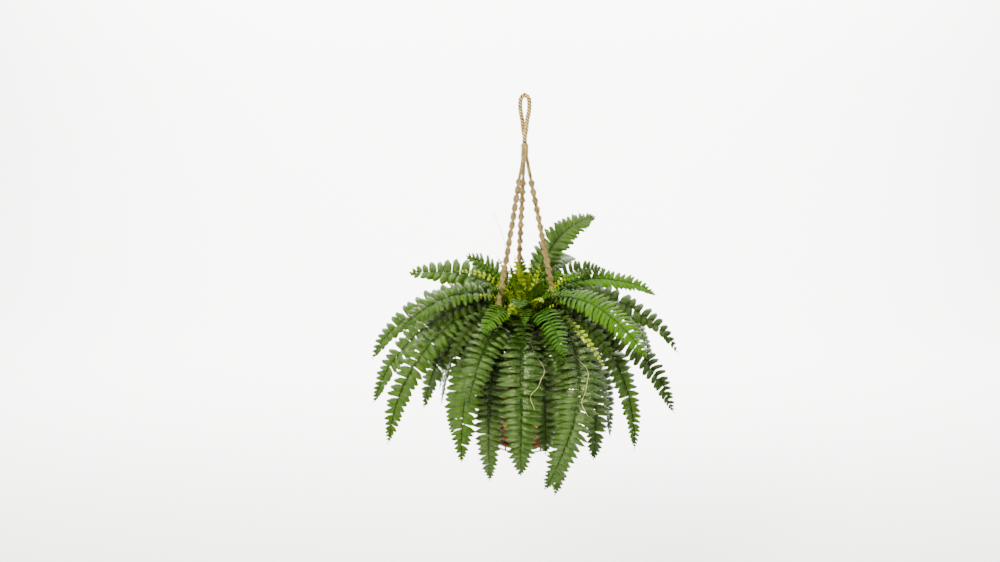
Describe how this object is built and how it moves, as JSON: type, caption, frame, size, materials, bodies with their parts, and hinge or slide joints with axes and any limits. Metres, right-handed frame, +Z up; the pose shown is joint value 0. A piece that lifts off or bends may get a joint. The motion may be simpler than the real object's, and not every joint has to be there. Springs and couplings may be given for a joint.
{
  "type": "boston fern hanging basket",
  "caption": "Arching fern with drooping leafy fronds in a small woven basket, hung from a knotted rope hanger that ends in a loop.",
  "frame": {"origin": "inner top of the rope loop, where a hook bears", "axes": "+Z up along the hanger, +Y towards the back, +X to the right seen from the front"},
  "size_m": [0.6283, 0.5183, 0.7683],
  "materials": {
    "leaf_dark": "satin, deep green",
    "leaf_mid": "satin, mid green",
    "leaf_bright": "satin, fresh yellow-green",
    "runner_stem": "matte, pale tan",
    "jute_rope": "rough twisted fibre",
    "woven_strip": "stained and lightly varnished split strips, one golden band",
    "foot_wire": "dark brown, satin",
    "liner_plastic": "black, matte",
    "potting_mix": null,
    "crown_fibre": "matted brown fibre"
  },
  "bodies": {
    "root": {"arm_back": "jute_rope", "arm_left": "jute_rope", "arm_right": "jute_rope", "basket_base": "woven_strip", "basket_wall": "woven_strip", "crown": "crown_fibre", "foot_ring": "foot_wire", "frond_01": "leaf_dark", "frond_02": "leaf_dark", "frond_03": "leaf_dark", "frond_04": "leaf_dark", "frond_05": "leaf_dark", "frond_06": "leaf_dark", "frond_07": "leaf_dark", "frond_08": "leaf_mid", "frond_09": "leaf_dark", "frond_10": "leaf_dark", "frond_11": "leaf_dark", "frond_12": "leaf_dark", "frond_13": "leaf_bright", "frond_14": "leaf_dark", "frond_15": "leaf_dark", "frond_16": "leaf_dark", "frond_17": "leaf_dark", "frond_18": "leaf_dark", "frond_19": "leaf_dark", "frond_20": "leaf_dark", "frond_21": "leaf_bright", "frond_22": "leaf_bright", "frond_23": "leaf_dark", "frond_24": "leaf_dark", "frond_25": "leaf_bright", "frond_26": "leaf_bright", "frond_27": "leaf_dark", "frond_28": "leaf_dark", "frond_29": "leaf_dark", "frond_30": "leaf_dark", "frond_31": "leaf_dark", "frond_32": "leaf_dark", "frond_33": "leaf_dark", "frond_34": "leaf_dark", "frond_35": "leaf_dark", "frond_36": "leaf_dark", "frond_37": "leaf_dark", "frond_38": "leaf_dark", "frond_39": "leaf_dark", "frond_40": "leaf_mid", "hanger_loop": "jute_rope", "liner_pot": "liner_plastic", "potting_mix": "potting_mix", "rim_hoop": "woven_strip", "runner_1": "runner_stem", "runner_2": "runner_stem", "runner_3": "runner_stem", "sprig_1": "leaf_bright", "sprig_2": "leaf_bright", "sprig_3": "leaf_bright", "sprig_4": "leaf_bright", "sprig_5": "leaf_bright", "whipping": "jute_rope"}
  },
  "joints": []
}
